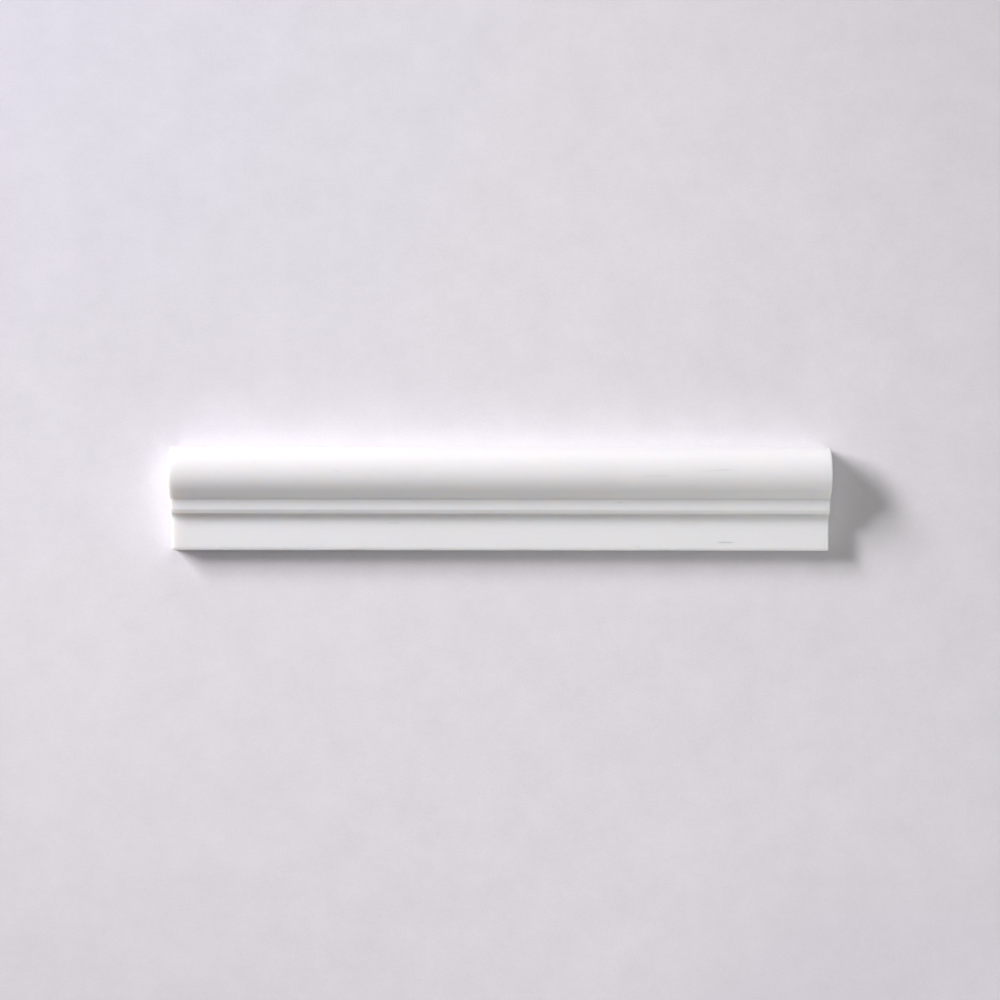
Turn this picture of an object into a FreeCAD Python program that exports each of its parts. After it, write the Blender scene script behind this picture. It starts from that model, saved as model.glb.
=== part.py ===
import FreeCAD
import Part
import Sketcher
import math
import os

# One length of solid white marble dado rail, lying on its flat back.
# X runs along the rail, +Y is up the wall and +Z is out of the wall, from the middle of the back face.

# Driving dimensions: name, value in millimetres or degrees, meaning.
# The fascia, the flat lower band, takes up the height that the rest leaves.
SIZES = [
    ("rail_length", 305.0, "sawn length"),
    ("rail_height", 48.0, "lower edge to top face"),
    ("fascia_thickness", 10.8, "back face to the face of the fascia"),
    ("ease_radius", 2.2, "flat round along the lower front edge"),
    ("ease_width", 1.5, "width of that round, up the wall"),
    ("hollow_radius", 3.8, "hollow from the fascia up to the step"),
    ("step_width", 1.8, "sloping face of the step"),
    ("step_angle", 31.0, "lean of the step"),
    ("step_arris", 1.0, "radius between the step and the shelf"),
    ("shelf_width", 4.3, "narrow shelf above the step, up the wall"),
    ("shelf_drop", 0.8, "fall of the shelf from the nose to the step"),
    ("shelf_radius", 12.0, "slight hollow across the shelf"),
    ("shelf_rise", 5.8, "fascia to the top of the shelf, out of the wall"),
    ("quirk_radius", 1.2, "small hollow between the shelf and the nose"),
    ("quirk_depth", 1.2, "rise of that hollow from the shelf to the nose"),
    ("slope_angle", 42.0, "lean of the straight underside of the nose"),
    ("nose_rise", 7.4, "top of the shelf to the crest of the nose, out of the wall"),
    ("nose_radius", 12.2, "round nose, from the slope over its crest to the top face"),
    ("end_ease", 0.2, "bevel round the front of each sawn end"),
]
NAME = "dado_rail"
START, END, CENTRE = 1, 2, 3
ORIGIN = (-1, 1)
SAME = 1e-4


def make_sheet(doc):
    """The spreadsheet of driving dimensions, one named cell each."""
    sheet = doc.addObject("Spreadsheet::Sheet", "sizes")
    for row, (name, value, meaning) in enumerate(SIZES, start=1):
        sheet.set(f"A{row}", meaning)
        sheet.set(f"B{row}", str(value))
        sheet.setAlias(f"B{row}", name)
    doc.recompute()
    return sheet


def point(across, out):
    """A point of the section: across is up the wall, out is away from it."""
    return FreeCAD.Vector(across, out, 0)


def facing(degrees):
    """Unit vector in the section at an angle from up the wall, turning out of the wall."""
    return point(math.cos(math.radians(degrees)), math.sin(math.radians(degrees)))


def arc(centre, radius, first, last):
    """Arc of the section, anticlockwise between two angles in degrees."""
    circle = Part.Circle(centre, FreeCAD.Vector(0, 0, 1), radius)
    return Part.ArcOfCircle(circle, math.radians(first), math.radians(last))


def angle_of(vector):
    """Angle of a vector in the section, in degrees from up the wall, turning out of the wall."""
    return math.degrees(math.atan2(vector.y, vector.x))


def section_curves(size):
    """The section's lines and arcs by name, worked out from the sizes so that they already meet."""
    lower = -size.rail_height / 2
    upper = size.rail_height / 2
    shelf_out = size.fascia_thickness + size.shelf_rise
    nose_centre = point(upper - size.nose_radius, shelf_out + size.nose_rise - size.nose_radius)

    # The shelf is a shallow arc between two ends that its width and drop set apart.
    chord = math.hypot(size.shelf_width, size.shelf_drop)
    half_bend = math.degrees(math.asin(chord / 2 / size.shelf_radius))
    chord_face = 90 + math.degrees(math.atan2(size.shelf_drop, size.shelf_width))
    inner_face = chord_face + half_bend
    outer_face = chord_face - half_bend

    # The slope leaves the nose at its own lean and ends quirk_depth out of the shelf.
    slope_end = nose_centre + facing(90 + size.slope_angle) * size.nose_radius
    fall = slope_end.y - shelf_out - size.quirk_depth
    slope_start = slope_end - facing(size.slope_angle) * (fall / facing(size.slope_angle).y)

    # The quirk leaves the shelf smoothly and steepens until it has risen to the slope.
    quirk_rise = facing(inner_face).y - size.quirk_depth / size.quirk_radius
    quirk_face = 90 + math.degrees(math.acos(quirk_rise))
    quirk_centre = slope_start + facing(quirk_face) * size.quirk_radius
    shelf_end = quirk_centre - facing(inner_face) * size.quirk_radius
    shelf_centre = shelf_end + facing(inner_face) * size.shelf_radius
    shelf_start = shelf_end - point(size.shelf_width, size.shelf_drop)

    # A small arc turns the shelf down into the step.
    step_face = 90 + size.step_angle
    arris_centre = shelf_start - facing(outer_face) * size.step_arris
    step_end = arris_centre + facing(step_face) * size.step_arris
    step_start = step_end - facing(size.step_angle) * size.step_width

    # The hollow starts level with the fascia and ends at the foot of the step.
    hollow_out = size.fascia_thickness + size.hollow_radius
    hollow_run = math.sqrt(size.hollow_radius ** 2 - (hollow_out - step_start.y) ** 2)
    hollow_centre = point(step_start.x - hollow_run, hollow_out)
    fascia_end = point(hollow_centre.x, size.fascia_thickness)

    # The ease leaves the fascia smoothly and meets the lower face at a corner.
    ease_face = 90 + math.degrees(math.asin(size.ease_width / size.ease_radius))
    ease_centre = point(lower + size.ease_width, size.fascia_thickness - size.ease_radius)
    fascia_start = ease_centre + facing(90) * size.ease_radius
    lower_end = ease_centre + facing(ease_face) * size.ease_radius

    return {
        "back": Part.LineSegment(point(lower, 0), point(upper, 0)),
        "top": Part.LineSegment(point(upper, 0), nose_centre + facing(0) * size.nose_radius),
        "nose": arc(nose_centre, size.nose_radius, 0, 90 + size.slope_angle),
        "slope": Part.LineSegment(slope_start, slope_end),
        "quirk": arc(quirk_centre, size.quirk_radius, inner_face - 180, quirk_face - 180),
        "shelf": arc(shelf_centre, size.shelf_radius, outer_face - 180, inner_face - 180),
        "arris": arc(arris_centre, size.step_arris, outer_face, step_face),
        "step": Part.LineSegment(step_start, step_end),
        "hollow": arc(hollow_centre, size.hollow_radius, -90, angle_of(step_start - hollow_centre)),
        "fascia": Part.LineSegment(fascia_start, fascia_end),
        "ease": arc(ease_centre, size.ease_radius, 90, ease_face),
        "lower": Part.LineSegment(point(lower, 0), lower_end),
    }


def add_section(body, size):
    """Sketch of the rail's section, held by constraints that read the spreadsheet."""
    sketch = body.newObject("Sketcher::SketchObject", "section")
    plane = next(item for item in body.Origin.OriginFeatures if item.Role == "YZ_Plane")
    sketch.AttachmentSupport = [(plane, "")]
    sketch.MapMode = "FlatFace"
    curves = section_curves(size)
    number = {name: sketch.addGeometry(curve, False) for name, curve in curves.items()}

    def hold(kind, *ends):
        """Add one geometric constraint between named curves and their points."""
        plain = [number.get(item, item) for item in ends]
        sketch.addConstraint(Sketcher.Constraint(kind, *plain))

    def tie(kind, name, value, formula, *ends):
        """Add one measured constraint that follows a formula of spreadsheet cells."""
        plain = [number.get(item, item) for item in ends]
        index = sketch.addConstraint(Sketcher.Constraint(kind, *plain, value))
        sketch.renameConstraint(index, name)
        sketch.setExpression(f"Constraints.{name}", formula)

    def measure(kind, name, *ends):
        """Add one measured length and tie it to the spreadsheet cell of the same name."""
        tie(kind, name, getattr(size, name), f"sizes.{name} * 1 mm", *ends)

    def lean(name, line):
        """Set the angle between a line and the wall from the spreadsheet cell of the same name."""
        tie("Angle", name, math.radians(getattr(size, name)), f"sizes.{name} * 1 deg", line)

    hold("Coincident", "back", START, "lower", START)
    hold("Coincident", "back", END, "top", START)
    hold("Coincident", "quirk", END, "slope", START)
    hold("Coincident", "step", START, "hollow", END)
    hold("Coincident", "ease", END, "lower", END)
    for first, first_end, second, second_end in (
        ("top", END, "nose", START),
        ("nose", END, "slope", END),
        ("quirk", START, "shelf", END),
        ("shelf", START, "arris", START),
        ("arris", END, "step", END),
        ("hollow", START, "fascia", END),
        ("fascia", START, "ease", START),
    ):
        hold("Tangent", first, first_end, second, second_end)

    hold("Symmetric", "back", START, "back", END, *ORIGIN)
    hold("Horizontal", "back")
    hold("Vertical", "top")
    hold("Vertical", "lower")
    hold("Horizontal", "fascia")

    measure("DistanceX", "rail_height", "back", START, "back", END)
    measure("DistanceY", "fascia_thickness", *ORIGIN, "fascia", END)
    measure("DistanceY", "shelf_rise", "fascia", END, "shelf", END)
    measure("DistanceX", "shelf_width", "shelf", START, "shelf", END)
    measure("DistanceY", "shelf_drop", "shelf", START, "shelf", END)
    measure("Radius", "shelf_radius", "shelf")
    measure("Distance", "step_width", "step")
    measure("Radius", "ease_radius", "ease")
    measure("DistanceX", "ease_width", "ease", END, "ease", START)
    measure("Radius", "hollow_radius", "hollow")
    measure("Radius", "step_arris", "arris")
    measure("Radius", "quirk_radius", "quirk")
    measure("DistanceY", "quirk_depth", "shelf", END, "slope", START)
    measure("Radius", "nose_radius", "nose")
    lean("step_angle", "step")
    lean("slope_angle", "slope")

    # The crest stands nose_rise above the shelf, which puts the nose's centre this far below the shelf.
    sunk = size.nose_radius - size.nose_rise
    formula = "(sizes.nose_radius - sizes.nose_rise) * 1 mm"
    tie("DistanceY", "nose_sunk", sunk, formula, "nose", CENTRE, "shelf", END)
    return sketch


def front_end_edges(shape):
    """Names of the edges round both sawn ends, without the one along the back face."""
    names = []
    for index, edge in enumerate(shape.Edges, start=1):
        box = edge.BoundBox
        if box.XLength < SAME and box.ZMax > SAME:
            names.append(f"Edge{index}")
    return names


def make_rail(doc):
    """The rail: its section run along the length, with the front of both ends bevelled."""
    size = make_sheet(doc)
    body = doc.addObject("PartDesign::Body", NAME)
    sketch = add_section(body, size)
    doc.recompute()

    run = body.newObject("PartDesign::Pad", "run")
    run.Profile = sketch
    run.SideType = "Symmetric"
    run.setExpression("Length", "sizes.rail_length * 1 mm")
    doc.recompute()

    bevel = body.newObject("PartDesign::Chamfer", "end_bevel")
    bevel.Base = (run, front_end_edges(run.Shape))
    bevel.setExpression("Size", "sizes.end_ease * 1 mm")
    doc.recompute()
    return body


def check(doc):
    """Stop unless every feature is sound."""
    for item in doc.Objects:
        if "Invalid" in item.State or "Error" in item.State:
            raise RuntimeError(f"{item.Name} is {item.State}")
        shape = getattr(item, "Shape", None)
        if shape is not None and item.isDerivedFrom("PartDesign::Feature"):
            if shape.isNull() or not shape.isValid():
                raise RuntimeError(f"{item.Name} has no sound shape")


doc = FreeCAD.newDocument("dado_rail")
rail = make_rail(doc)
check(doc)
if len(rail.Shape.Solids) != 1:
    raise RuntimeError("the rail is not one solid")
os.makedirs("parts", exist_ok=True)
rail.Label = NAME
rail.Shape.exportStep(f"parts/{rail.Label}.step")
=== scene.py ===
import math

import bpy
import numpy as np
from bpy.props import FloatProperty, FloatVectorProperty, IntProperty, PointerProperty
from mathutils import Euler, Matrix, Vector


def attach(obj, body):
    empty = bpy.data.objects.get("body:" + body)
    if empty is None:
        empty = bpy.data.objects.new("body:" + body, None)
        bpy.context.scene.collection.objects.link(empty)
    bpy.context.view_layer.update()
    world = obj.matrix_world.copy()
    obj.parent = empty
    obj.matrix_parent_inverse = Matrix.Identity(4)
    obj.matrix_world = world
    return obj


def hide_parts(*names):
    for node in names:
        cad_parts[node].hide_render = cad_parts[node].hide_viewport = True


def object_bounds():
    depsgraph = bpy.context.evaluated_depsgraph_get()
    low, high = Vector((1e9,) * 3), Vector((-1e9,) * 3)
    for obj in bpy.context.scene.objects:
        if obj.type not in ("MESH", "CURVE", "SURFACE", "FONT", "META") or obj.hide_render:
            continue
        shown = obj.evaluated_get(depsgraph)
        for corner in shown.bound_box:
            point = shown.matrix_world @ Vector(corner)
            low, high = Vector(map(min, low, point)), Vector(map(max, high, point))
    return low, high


bl_info = {
    "name": "Marble dado rail",
    "version": (1, 0, 0),
    "blender": (4, 5, 0),
    "location": "3D View > Sidebar > Dado rail",
    "description": "A length of honed white marble dado rail lying on pale paper",
    "category": "Add Mesh",
}

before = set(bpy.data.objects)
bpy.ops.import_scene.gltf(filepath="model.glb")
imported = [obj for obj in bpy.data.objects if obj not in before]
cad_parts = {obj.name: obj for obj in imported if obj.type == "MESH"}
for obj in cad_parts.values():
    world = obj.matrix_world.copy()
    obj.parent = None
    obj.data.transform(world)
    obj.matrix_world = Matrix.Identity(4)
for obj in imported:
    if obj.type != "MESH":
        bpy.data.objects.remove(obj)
CAD_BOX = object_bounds()
CAD_LOW, CAD_HIGH = (np.array(corner) for corner in CAD_BOX)

MM = 0.001
NODE = "dado_rail"


def length(name, description, default):
    """A length property in metres, given in millimetres."""
    return FloatProperty(
        name=name, description=description, default=default * MM, subtype="DISTANCE", unit="LENGTH"
    )


def angle(name, description, default):
    """An angle property, given in degrees."""
    return FloatProperty(
        name=name, description=description, default=math.radians(default), subtype="ANGLE"
    )


def colour(name, description, default, most=1.0):
    """A colour property."""
    return FloatVectorProperty(
        name=name, description=description, default=default, min=0.0, max=most, subtype="COLOR"
    )


class RailSizes(bpy.types.PropertyGroup):
    """The rail's section, from the fascia at the lower edge up to the nose."""

    fascia_thickness: length("Fascia thickness", "Back face to the face of the flat lower band", 10.8)
    ease_radius: length("Ease radius", "Flat round along the lower front edge", 2.2)
    ease_width: length("Ease width", "Width of that round, up the wall", 1.5)
    hollow_radius: length("Hollow radius", "Hollow from the fascia up to the step", 3.8)
    step_width: length("Step width", "Sloping face of the step", 1.8)
    step_angle: angle("Step angle", "Lean of the step", 31.0)
    step_arris: length("Step arris", "Radius between the step and the shelf", 1.0)
    shelf_width: length("Shelf width", "Narrow shelf above the step, up the wall", 4.3)
    shelf_drop: length("Shelf drop", "Fall of the shelf from the nose to the step", 0.8)
    shelf_radius: length("Shelf radius", "Slight hollow across the shelf", 12.0)
    shelf_rise: length("Shelf rise", "Fascia to the top of the shelf, out of the wall", 5.8)
    quirk_radius: length("Quirk radius", "Small hollow between the shelf and the nose", 1.2)
    quirk_depth: length("Quirk depth", "Rise of that hollow from the shelf to the nose", 1.2)
    slope_angle: angle("Slope angle", "Lean of the straight underside of the nose", 42.0)
    nose_radius: length("Nose radius", "Round nose, from the slope over its crest to the top face", 12.2)
    end_ease: length("End ease", "Worn edge round the front of each sawn end", 0.12)
    rings: IntProperty(
        name="Rings", description="Cross-sections along the length", default=360, min=20, max=420,
        subtype="UNSIGNED"
    )


class MarbleFinish(bpy.types.PropertyGroup):
    """Colours of the stone, and of the painted highlight round its cut ends."""

    body: colour("Body", "Colour of the clean stone", (0.823, 0.801, 0.828))
    vein: colour("Vein", "Colour of the hairlines", (0.42, 0.42, 0.42))
    # Not a colour of the stone: a painted highlight round the edges of both cut ends.
    end_highlight: colour("Sawn", "Paler colour towards the rubbed edges of the sawn ends", (0.98, 0.97, 0.97))
    roughness: FloatProperty(
        name="Roughness", description="Roughness of the honed face", default=0.42, min=0, max=1,
        subtype="FACTOR"
    )


class StageLook(bpy.types.PropertyGroup):
    """Paper, lamps and camera."""

    paper: colour("Paper", "Colour of the paper under the rail", (0.8, 0.756, 0.812))
    backdrop: colour("Backdrop", "Colour seen far away, beyond the paper", (0.69, 0.66, 0.71))
    window: colour("Window", "Colour of the window's light", (0.978, 0.978, 0.984), most=2.0)
    room: colour("Room", "Colour of the light from the room", (0.985, 1.025, 0.955), most=2.0)
    camera_height: length("Camera height", "Camera above the paper, looking straight down", 1050.8)
    camera_offset: length("Camera offset", "Camera from the middle of the rail, up the wall", -0.6)
    picture_width: length("Picture width", "Width seen at the fascia", 464.2)
    picture_turn: angle("Picture turn", "Camera turned about its view, against the clock", 0.07)


def polar(centre, radius, degrees):
    """Points at a radius from a centre, at angles in degrees from up the wall turning out of it."""
    turn = np.radians(degrees)
    return np.stack([centre[0] + radius * np.cos(turn), centre[1] + radius * np.sin(turn)], axis=-1)


def facing(degrees):
    """Unit vector at one angle."""
    return polar((0.0, 0.0), 1.0, degrees)


def angle_of(vector):
    """Angle of a vector, in degrees."""
    return math.degrees(math.atan2(vector[1], vector[0]))


def section_outline(size):
    """The closed section in (up the wall, out of the wall) as points and their outward unit normals.

    Straight stretches and arcs follow one another anticlockwise from the lower back corner. Each arc is
    centre + radius * (cos a, sin a), and its normal points away from its centre, or towards it in a hollow.
    """
    lower, upper = CAD_LOW[1], CAD_HIGH[1]
    nose_centre = np.array([upper, CAD_HIGH[2]]) - size.nose_radius
    shelf_out = size.fascia_thickness + size.shelf_rise
    slope, lean = math.degrees(size.slope_angle), math.degrees(size.step_angle)

    chord = math.hypot(size.shelf_width, size.shelf_drop)
    bow = math.degrees(math.asin(chord / 2 / size.shelf_radius))
    tilt_in = angle_of([size.shelf_width, size.shelf_drop]) + bow
    tilt_out = tilt_in - 2 * bow

    slope_end = nose_centre + size.nose_radius * facing(90 + slope)
    fall = slope_end[1] - shelf_out - size.quirk_depth
    slope_start = slope_end - facing(slope) * fall / math.sin(size.slope_angle)
    quirk = math.degrees(math.acos(math.cos(math.radians(tilt_in)) - size.quirk_depth / size.quirk_radius))
    quirk_centre = slope_start + facing(90 + quirk) * size.quirk_radius
    shelf_end = quirk_centre - facing(90 + tilt_in) * size.quirk_radius
    shelf_centre = shelf_end + facing(90 + tilt_in) * size.shelf_radius
    shelf_start = shelf_end - [size.shelf_width, size.shelf_drop]

    arris_centre = shelf_start - facing(90 + tilt_out) * size.step_arris
    step_end = arris_centre + facing(90 + lean) * size.step_arris
    step_start = step_end - facing(lean) * size.step_width
    hollow_out = size.fascia_thickness + size.hollow_radius
    hollow_run = math.sqrt(size.hollow_radius ** 2 - (hollow_out - step_start[1]) ** 2)
    hollow_centre = np.array([step_start[0] - hollow_run, hollow_out])
    hollow_top = angle_of(step_start - hollow_centre)
    fascia_end = np.array([hollow_centre[0], size.fascia_thickness])
    ease = math.degrees(math.asin(size.ease_width / size.ease_radius))
    ease_centre = np.array([lower + size.ease_width, size.fascia_thickness - size.ease_radius])
    lower_end = ease_centre + facing(90 + ease) * size.ease_radius

    def straight(start, end, count):
        """Points from start to end, start + share * (end - start), with the normal on their right."""
        share = np.linspace(0, 1, count)[:, None]
        points = (1 - share) * start + share * end
        run = (end - start) / np.linalg.norm(end - start)
        return points, np.broadcast_to([run[1], -run[0]], points.shape)

    def bend(centre, radius, first, last, count, hollow=False):
        """Points of an arc between two angles in degrees, with normals towards the centre of a hollow."""
        outward = facing(np.linspace(first, last, count))
        return centre + radius * outward, -outward if hollow else outward

    stretches = [
        straight(np.array([lower, 0]), np.array([upper, 0]), 12),
        straight(np.array([upper, 0]), nose_centre + [size.nose_radius, 0], 10),
        bend(nose_centre, size.nose_radius, 0, 90 + slope, 52),
        straight(slope_end, slope_start, 12),
        bend(quirk_centre, size.quirk_radius, quirk - 90, tilt_in - 90, 10, hollow=True),
        bend(shelf_centre, size.shelf_radius, tilt_in - 90, tilt_out - 90, 10, hollow=True),
        bend(arris_centre, size.step_arris, 90 + tilt_out, 90 + lean, 6),
        straight(step_end, step_start, 6),
        bend(hollow_centre, size.hollow_radius, hollow_top, -90, 20, hollow=True),
        straight(fascia_end, ease_centre + [0, size.ease_radius], 18),
        bend(ease_centre, size.ease_radius, 90, 90 + ease, 8),
        straight(lower_end, np.array([lower, 0]), 10),
    ]
    points = np.concatenate([stretch[0][:-1] for stretch in stretches])
    normals = np.concatenate([stretch[1][:-1] for stretch in stretches])
    return points, normals


# Each sine of a wandering line is shorter and lower than the one before by these factors, and their sum is
# divided by its usual height.
WANDER_SINES = 7
WANDER_SHORTER = 1.55
WANDER_LOWER = 1.25
WANDER_HEIGHT = 2.4


def wander(along, seed, longest):
    """Smooth uneven line between about -1 and 1: a sum of sines of shrinking wavelength and seeded phase."""
    draw = np.random.default_rng(seed)
    total = np.zeros_like(along)
    for order in range(WANDER_SINES):
        wavelength = longest / WANDER_SHORTER ** order * draw.uniform(0.85, 1.15)
        phase = draw.uniform(0, 2 * np.pi)
        total += np.sin(2 * np.pi * along / wavelength + phase) / WANDER_LOWER ** order
    return total / WANDER_HEIGHT


# Angles in degrees of the rings round an eased end.
EASE_ANGLES = (0, 22, 45, 68, 90)
# The lower arris is rubbed back by RUB_DEPTH times two wandering factors, which fades over RUB_REACH from
# its corner.
RUB_DEPTH = 0.05 * MM
RUB_REACH = 1.0 * MM
RUB_LONG = 60 * MM
RUB_SHORT = 9 * MM
# The face from this share of the fascia's thickness outwards lies back by a depth that wanders round the
# next value.
MOULDED_FROM = 0.98
WAVER_DEPTH = 0.03 * MM
WAVER_LONG = 140 * MM
# Each end face closes in this many steps, on a point at these shares of half the height and of the depth.
CAP_STEPS = 5
CAP_CORE = (0.1, 0.35)
# Edges sharper than this angle in degrees are shaded as corners.
SHARP_ANGLE = 38
# Points less than this far out of the wall, in metres, lie on the back.
ON_BACK = 1e-9


def rail_mesh(size):
    """The rail's skin: the section carried along X, with both ends eased and closed.

    Ring k has its x and an inset. The section moves into the stone by the inset along its own normals, so the
    end rings, at x = end - e + e sin(a) with an inset of e (1 - cos(a)), make a worn quarter round. The lower
    arris is rubbed back, and the whole moulded face wavers, by depths that wander along the length. Each end
    face is the last ring shrunk in steps towards a point in the middle of the section.
    """
    points, normals = section_outline(size)
    across, out = points.T
    middle = size.rings - 2 * len(EASE_ANGLES)
    ease = size.end_ease
    turn = np.radians(EASE_ANGLES)
    end = CAD_HIGH[0] - ease + ease * np.sin(turn)
    inset = ease * (1 - np.cos(turn))
    body = np.linspace(CAD_LOW[0] + ease, CAD_HIGH[0] - ease, middle + 2)[1:-1]
    x = np.concatenate([-end[::-1], body, end])
    inset = np.concatenate([inset[::-1], np.zeros(middle), inset])

    back = out < ON_BACK
    half = CAD_HIGH[1]
    shift = normals * ~back[:, None]
    from_corner = (across - CAD_LOW[1]) ** 2 + (out - size.fascia_thickness) ** 2
    arris = np.exp(-from_corner / RUB_REACH ** 2)
    long_wave = np.clip(1 + wander(x, 11, RUB_LONG), 0, 2)
    short_wave = np.clip(1 + 0.9 * wander(x, 12, RUB_SHORT), 0, 3)
    rub = RUB_DEPTH * long_wave * short_wave
    moulded = out > size.fascia_thickness * MOULDED_FROM
    waver = WAVER_DEPTH * (1 - wander(x, 21, WAVER_LONG))

    depth = inset[:, None] + rub[:, None] * arris[None, :] + waver[:, None] * moulded[None, :]
    narrowed = np.where(back[None, :], 1 - inset[:, None] / half, 1)
    grid_y = across[None, :] * narrowed - depth * shift[None, :, 0]
    grid_z = out[None, :] - depth * shift[None, :, 1]
    grid_x = np.broadcast_to(x[:, None], grid_y.shape)
    grid = np.stack([grid_x, grid_y, grid_z], axis=-1)

    core = np.array(CAP_CORE) * [half, CAD_HIGH[2]]
    steps = np.linspace(0, 1, CAP_STEPS + 1)[1:-1]

    def cap(ring):
        """Rings from an end's edge to its core, all in the plane of that end."""
        centre = np.array([ring[0, 0], core[0], core[1]])
        return ring[None] + (centre - ring[None]) * steps[:, None, None], centre

    low_cap, low_core = cap(grid[0])
    high_cap, high_core = cap(grid[-1])
    rings = np.concatenate([low_cap[::-1], grid, high_cap])
    count, around = rings.shape[:2]
    index = np.arange(count * around).reshape(count, around)
    following = np.roll(index, -1, axis=1)
    quads = np.stack([index[:-1], following[:-1], following[1:], index[1:]], axis=-1).reshape(-1, 4)
    low_point, high_point = count * around, count * around + 1
    low_fan = np.stack([following[0], index[0], np.full(around, low_point)], axis=-1)
    high_fan = np.stack([index[-1], following[-1], np.full(around, high_point)], axis=-1)
    vertices = np.concatenate([rings.reshape(-1, 3), [low_core, high_core]])

    mesh = bpy.data.meshes.new("marble_rail")
    mesh.from_pydata(vertices.tolist(), [], quads.tolist() + low_fan.tolist() + high_fan.tolist())
    mesh.shade_smooth()
    mesh.set_sharp_from_angle(angle=math.radians(SHARP_ANGLE))
    mesh.validate()
    return mesh


class Number:
    """One output of a node tree. Arithmetic on it adds Math nodes."""

    def __init__(self, nodes, socket):
        self.nodes = nodes
        self.socket = socket

    def math(self, operation, *others):
        """This value and others through one Math node."""
        values = dict(enumerate((self, *others)))
        return self.nodes.add("ShaderNodeMath", {"operation": operation}, values)

    def reflected(self, operation, other):
        """The same with the other value first."""
        return self.nodes.add("ShaderNodeMath", {"operation": operation}, {0: other, 1: self})

    def __add__(self, other):
        return self.math("ADD", other)

    def __radd__(self, other):
        return self.reflected("ADD", other)

    def __sub__(self, other):
        return self.math("SUBTRACT", other)

    def __rsub__(self, other):
        return self.reflected("SUBTRACT", other)

    def __mul__(self, other):
        return self.math("MULTIPLY", other)

    def __rmul__(self, other):
        return self.reflected("MULTIPLY", other)

    def __truediv__(self, other):
        return self.math("DIVIDE", other)

    def __rtruediv__(self, other):
        return self.reflected("DIVIDE", other)


# A Mix node's sockets for colour, by number because their names repeat for each kind of data.
MIX_FACTOR, MIX_FIRST, MIX_SECOND, MIX_RESULT = 0, 6, 7, 2


class Nodes:
    """The node tree of a material or a world, emptied and filled again through one method."""

    def __init__(self, owner):
        self.owner = owner
        owner.use_nodes = True
        self.tree = owner.node_tree
        self.tree.nodes.clear()

    def add(self, kind, settings=None, inputs=None, output=0):
        """Add a node: its settings first, then each input as a value or a link."""
        node = self.tree.nodes.new(kind)
        for key, value in (settings or {}).items():
            setattr(node, key, value)
        for key, value in (inputs or {}).items():
            if isinstance(value, Number):
                self.tree.links.new(value.socket, node.inputs[key])
            else:
                node.inputs[key].default_value = value
        return None if output is None else Number(self, node.outputs[output])

    def noise(self, place, scale, detail, roughness=0.5):
        """Noise from 0 to 1, with a scale in features to the metre."""
        inputs = {"Vector": place, "Scale": scale, "Detail": detail, "Roughness": roughness}
        return self.add("ShaderNodeTexNoise", {}, inputs)

    def ramp(self, value, start, end, low=0.0, high=1.0, curve="LINEAR"):
        """Low at the value's start, high at its end, and held beyond them."""
        inputs = {0: value, 1: start, 2: end, 3: low, 4: high}
        return self.add("ShaderNodeMapRange", {"interpolation_type": curve}, inputs)

    def mixed(self, factor, first, second):
        """Blend of two colours by a factor. Each is a node's output or three plain parts."""
        first, second = (part if isinstance(part, Number) else (*part, 1) for part in (first, second))
        inputs = {MIX_FACTOR: factor, MIX_FIRST: first, MIX_SECOND: second}
        return self.add("ShaderNodeMix", {"data_type": "RGBA"}, inputs, output=MIX_RESULT)

    def distance(self, place, centre):
        """Distance of each place from a centre, in metres."""
        inputs = {0: place, 1: centre}
        return self.add("ShaderNodeVectorMath", {"operation": "DISTANCE"}, inputs, output="Value")

    def seen(self):
        """1 for rays from the camera, off a shiny surface or through a clear one, and 0 for others."""
        kinds = ("Is Camera Ray", "Is Glossy Ray", "Is Transmission Ray")
        camera, glossy, clear = (self.add("ShaderNodeLightPath", output=kind) for kind in kinds)
        return (camera + glossy + clear).math("MINIMUM", 1.0)

    def close(self, surface):
        """Join a surface to the output of the tree."""
        kind = "World" if isinstance(self.owner, bpy.types.World) else "Material"
        self.add("ShaderNodeOutput" + kind, {}, {"Surface": surface}, output=None)


# Hairlines seen in the stone, in millimetres from the middle of the rail: start and end along it, height,
# rise for each millimetre along it, thickness and strength.
HAIRLINES = (
    (64.5, 80.0, 10.3, 0.02, 0.28, 0.25),
    (90.5, 109.0, 12.6, 0.06, 0.26, 0.3),
    (99.5, 110.0, -20.2, 0.0, 0.36, 0.5),
    (-53.5, -46.0, -11.3, 0.0, 0.3, 0.4),
    (61.5, 66.0, -22.3, 0.0, 0.3, 0.25),
    (53.0, 58.0, -1.6, -0.05, 0.3, 0.25),
    (-76.0, -73.0, 12.7, 0.0, 0.3, 0.2),
    (-38.0, -30.5, -23.6, 0.0, 0.25, 0.45),
)
# Their edges waver by this much in millimetres, and each fades out over this share of its length.
HAIRLINE_WAVER = 0.5
HAIRLINE_FADE = 0.35
# The pattern of the veins is drawn out along the rail, and they never hide the stone more than this.
VEIN_STRETCH = (0.12, 1.0, 1.0)
VEIN_MOST = 0.9
# The stone's clouds run between these two shares of its colour.
CLOUD_SHARES = (0.985, 1.015)
# Painted highlight round the edges of both cut ends, where light would catch their worn edges:
# how much paler it makes them, fading over this width in millimetres.
END_HIGHLIGHT_SHARE = 0.8
END_HIGHLIGHT_WIDTH = 1.6


def hairline(nodes, along, up, start, end, height, rise, thickness):
    """Mask of one fine line: a bell across it, times a soft window between its two ends."""
    fade = HAIRLINE_FADE * (end - start)
    grow = nodes.ramp(along, start, start + fade, curve="SMOOTHSTEP")
    shrink = nodes.ramp(along, end - fade, end, low=1.0, high=0.0, curve="SMOOTHSTEP")
    off = (up - (along - start) * rise - height) / thickness
    return (off * off * -1.0).math("EXPONENT") * grow * shrink


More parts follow.
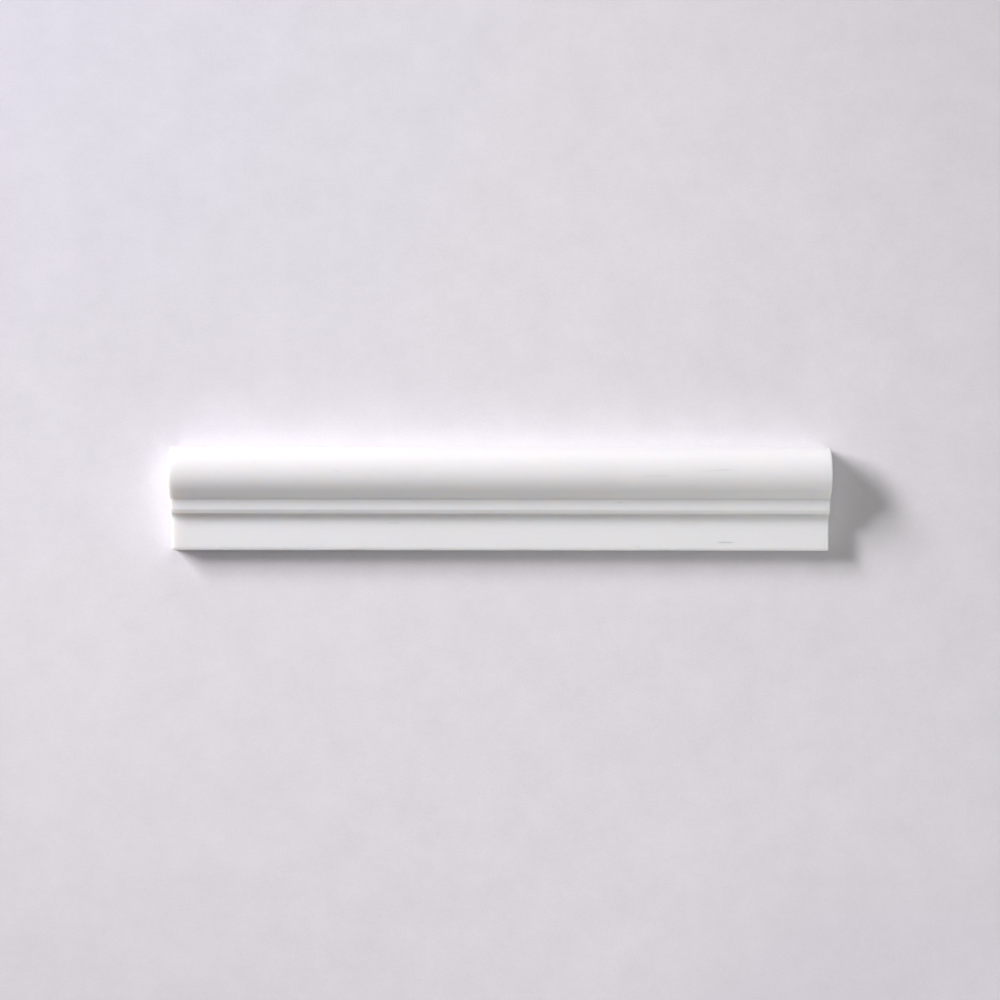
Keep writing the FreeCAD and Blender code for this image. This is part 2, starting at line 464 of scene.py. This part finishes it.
def marble_material(finish):
    """Honed white marble with a soft depth.

    It has faint clouds, short grey hairlines along the length, and a painted highlight round both cut ends.
    """
    nodes = Nodes(bpy.data.materials.new("honed_marble"))
    place = nodes.add("ShaderNodeTexCoord", output="Object")
    stretched = nodes.add("ShaderNodeMapping", {}, {"Vector": place, "Scale": VEIN_STRETCH})
    along, up = (nodes.add("ShaderNodeSeparateXYZ", {}, {0: place}, output=axis) / MM for axis in "XY")

    uneven = nodes.noise(stretched, scale=2600.0, detail=2.0)
    wavering = up + (uneven - 0.5) * HAIRLINE_WAVER
    lines = 0.0
    for *line, strength in HAIRLINES:
        lines = lines + hairline(nodes, along, wavering, *line) * strength
    broken = nodes.noise(stretched, scale=900.0, detail=3.0)
    lines = lines * nodes.ramp(broken, 0.34, 0.52, low=0.3)
    streaks = nodes.noise(stretched, scale=420.0, detail=5.0, roughness=0.6)
    veins = (lines + nodes.ramp(streaks, 0.62, 0.80, high=0.10)).math("MINIMUM", VEIN_MOST)

    clouds = nodes.noise(place, scale=28.0, detail=4.0, roughness=0.55)
    darker, lighter = ([share * part for part in finish.body] for share in CLOUD_SHARES)
    veined = nodes.mixed(veins, nodes.mixed(clouds, darker, lighter), finish.vein)
    # Painted highlight: the stone turns paler towards the edges of both ends.
    from_end = float(CAD_HIGH[0]) / MM - along.math("ABSOLUTE")
    end_highlight_mask = nodes.ramp(from_end, 0.0, END_HIGHLIGHT_WIDTH, low=END_HIGHLIGHT_SHARE, high=0.0)

    grain = nodes.noise(place, scale=1400.0, detail=2.0)
    bump = nodes.add("ShaderNodeBump", {}, {"Strength": 0.15, "Distance": 0.04 * MM, "Height": grain})
    nodes.close(nodes.add("ShaderNodeBsdfPrincipled", {}, {
        "Base Color": nodes.mixed(end_highlight_mask, veined, finish.end_highlight),
        "Roughness": finish.roughness + (grain - 0.5) * 0.1,
        "Specular IOR Level": 0.25,
        "Normal": bump,
        "Subsurface Weight": 1.0,
        "Subsurface Radius": (1.0, 0.85, 0.7),
        "Subsurface Scale": 5.0 * MM,
    }))
    return nodes.owner


# Painted light and shade on the paper: it is brightest at one place, in metres from the middle of the rail,
# and falls to a lower share of its colour at its reach. A cooler painted shade fades out at its own reach
# from the upper left corner of the picture, and a darker painted shade from below its lower edge, to the
# right.
PAINTED_LIGHT_CENTRE = (-0.09, 0.02, 0.0)
PAINTED_LIGHT_REACH = 0.395
PAINTED_FALLOFF_SHARE = (0.885, 0.885, 0.895)
COOL_SHADE_CENTRE = (-0.24, 0.24, 0.0)
COOL_SHADE_REACH = 0.33
COOL_SHADE_SHARE = (0.885, 0.89, 0.94)
LOW_SHADE_CENTRE = (0.19, -0.30, 0.0)
LOW_SHADE_REACH = 0.16
LOW_SHADE_SHARE = (0.78, 0.74, 0.81)
# How far its clouds and its grain move the colour, as shares from their lowest to their highest.
PAPER_CLOUDS = 0.2
PAPER_GRAIN = 0.1
# Outside the picture the paper turns into an even backdrop, between these two distances in metres.
BACKDROP_START = 0.45
BACKDROP_FULL = 0.8


def paper_material(look):
    """Matt paper with a slight lavender cast, a fine grain, soft clouds, a painted slow fall-off of light and
    painted shade.
    """
    nodes = Nodes(bpy.data.materials.new("pale_paper"))
    place = nodes.add("ShaderNodeTexCoord", output="Object")
    # Painted fall-off of light from the brightest place, then two areas of painted shade.
    away = nodes.distance(place, PAINTED_LIGHT_CENTRE)
    painted_falloff = nodes.ramp(away * away, 0.0, PAINTED_LIGHT_REACH ** 2)
    tone = nodes.mixed(painted_falloff, look.paper, np.multiply(look.paper, PAINTED_FALLOFF_SHARE))
    painted_shades = ((COOL_SHADE_CENTRE, COOL_SHADE_REACH, COOL_SHADE_SHARE), (LOW_SHADE_CENTRE, LOW_SHADE_REACH, LOW_SHADE_SHARE))
    for centre, reach, share in painted_shades:
        shade_patch = nodes.ramp(nodes.distance(place, centre), 0.0, reach, low=1.0, high=0.0)
        tone = nodes.mixed(shade_patch, tone, np.multiply(look.paper, share))

    clouds = nodes.noise(place, scale=40.0, detail=7.0, roughness=0.8)
    grain = nodes.noise(place, scale=1100.0, detail=1.0)
    uneven = (clouds - 0.5) * PAPER_CLOUDS + (grain - 0.5) * PAPER_GRAIN + 1.0
    matt = nodes.add("ShaderNodeBsdfPrincipled", {}, {
        "Base Color": nodes.add("ShaderNodeVectorMath", {"operation": "SCALE"}, {0: tone, "Scale": uneven}),
        "Roughness": 0.9,
        "Specular IOR Level": 0.2,
    })
    plain = nodes.add("ShaderNodeEmission", {}, {"Color": (*look.backdrop, 1)})
    middle = nodes.distance(place, (0.0, 0.0, 0.0))
    beyond = nodes.ramp(middle, BACKDROP_START, BACKDROP_FULL, curve="SMOOTHSTEP")
    nodes.close(nodes.add("ShaderNodeMixShader", {}, {0: beyond * nodes.seen(), 1: matt, 2: plain}))
    return nodes.owner


def room_world(look):
    """A world that is only seen, as the backdrop's colour, and sends no light of its own."""
    nodes = Nodes(bpy.data.worlds.new("room"))
    background = {"Color": (*look.backdrop, 1), "Strength": nodes.seen()}
    nodes.close(nodes.add("ShaderNodeBackground", {}, background))
    return nodes.owner


class DADO_OT_rail(bpy.types.Operator):
    """Build the marble rail over its CAD solid"""

    bl_idname = "dado.rail"
    bl_label = "Marble rail"

    def execute(self, context):
        scene = context.scene
        mesh = rail_mesh(scene.dado_sizes)
        mesh.materials.append(marble_material(scene.dado_marble))
        rail = bpy.data.objects.new("marble_rail", mesh)
        scene.collection.objects.link(rail)
        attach(rail, "root")
        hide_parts(NODE)
        return {"FINISHED"}


# The soft lamps round the rail: name, distance from its middle in metres, direction along the floor and
# height in degrees, width as a share of the distance, watts, and whether it is part of the window.
LAMPS = (
    ("window_1", 2.0, 140, 26, 0.22, 17.5, True),
    ("window_2", 3.5, 150, 26, 0.2, 20.2, True),
    ("window_3", 3.5, 150, 34, 0.2, 23.7, True),
    ("window_4", 3.5, 160, 34, 0.2, 56.6, True),
    ("room_1", 2.0, 90, 12, 0.3, 3.99, False),
    ("room_2", 2.0, 75, 55, 0.3, 3.24, False),
    ("room_3", 1.25, 0, 90, 0.4, 2.24, False),
    ("room_4", 0.6, 300, 15, 0.4, 0.635, False),
    ("room_5", 1.25, 300, 15, 0.4, 0.496, False),
    ("room_6", 0.6, 0, 35, 0.4, 0.182, False),
)


def area_lamp(scene, name, distance, along, height, share, watts, tint):
    """A soft square lamp that looks at the middle of the rail from a distance and two angles."""
    lamp = bpy.data.lights.new(name, "AREA")
    lamp.shape = "SQUARE"
    lamp.size = share * distance
    lamp.energy = watts
    lamp.color = tint
    holder = bpy.data.objects.new(name, lamp)
    turn = Euler((0, math.radians(90 - height), math.radians(along)))
    holder.location = turn.to_matrix() @ Vector((0, 0, distance))
    holder.rotation_euler = (-holder.location).to_track_quat("-Z", "Y").to_euler()
    scene.collection.objects.link(holder)


# Half the width of the square of paper, in metres, and the width of the camera's sensor, in millimetres.
PAPER_HALF = 3.0
SENSOR = 36.0


class DADO_OT_stage(bpy.types.Operator):
    """Lay the paper, hang the lamps and set the camera"""

    bl_idname = "dado.stage"
    bl_label = "Paper, lamps and camera"

    def execute(self, context):
        scene = context.scene
        look = scene.dado_stage
        paper = bpy.data.meshes.new("paper")
        corners = PAPER_HALF * np.array([(-1, -1, 0), (1, -1, 0), (1, 1, 0), (-1, 1, 0)])
        paper.from_pydata(corners.tolist(), [], [(0, 1, 2, 3)])
        paper.materials.append(paper_material(look))
        floor = bpy.data.objects.new("paper", paper)
        scene.collection.objects.link(floor)

        for *setting, window in LAMPS:
            area_lamp(scene, *setting, look.window if window else look.room)
        scene.world = room_world(look)
        scene.view_settings.view_transform = "Standard"

        camera = bpy.data.cameras.new("camera")
        camera.sensor_width = SENSOR
        above_fascia = look.camera_height - scene.dado_sizes.fascia_thickness
        camera.lens = SENSOR * above_fascia / look.picture_width
        holder = bpy.data.objects.new("camera", camera)
        holder.location = (0.0, look.camera_offset, look.camera_height)
        holder.rotation_euler = (0, 0, look.picture_turn)
        scene.collection.objects.link(holder)
        scene.camera = holder
        return {"FINISHED"}


class DADO_PT_panel(bpy.types.Panel):
    """Buttons for each piece and for the stage"""

    bl_idname = "DADO_PT_panel"
    bl_label = "Dado rail"
    bl_space_type = "VIEW_3D"
    bl_region_type = "UI"
    bl_category = "Dado rail"

    def draw(self, context):
        layout = self.layout
        for settings in (context.scene.dado_sizes, context.scene.dado_marble, context.scene.dado_stage):
            for name in settings.__annotations__:
                layout.prop(settings, name)
        for operator in (DADO_OT_rail, DADO_OT_stage):
            layout.operator(operator.bl_idname)


CLASSES = (RailSizes, MarbleFinish, StageLook, DADO_OT_rail, DADO_OT_stage, DADO_PT_panel)


def register():
    """Register the classes and hang their settings on the scene."""
    for item in CLASSES:
        bpy.utils.register_class(item)
    bpy.types.Scene.dado_sizes = PointerProperty(type=RailSizes)
    bpy.types.Scene.dado_marble = PointerProperty(type=MarbleFinish)
    bpy.types.Scene.dado_stage = PointerProperty(type=StageLook)


def unregister():
    """Undo register."""
    del bpy.types.Scene.dado_sizes, bpy.types.Scene.dado_marble, bpy.types.Scene.dado_stage
    for item in reversed(CLASSES):
        bpy.utils.unregister_class(item)


def main():
    """Build everything in order."""
    register()
    bpy.ops.dado.rail()
    bpy.ops.dado.stage()


if __name__ == "__main__":
    main()
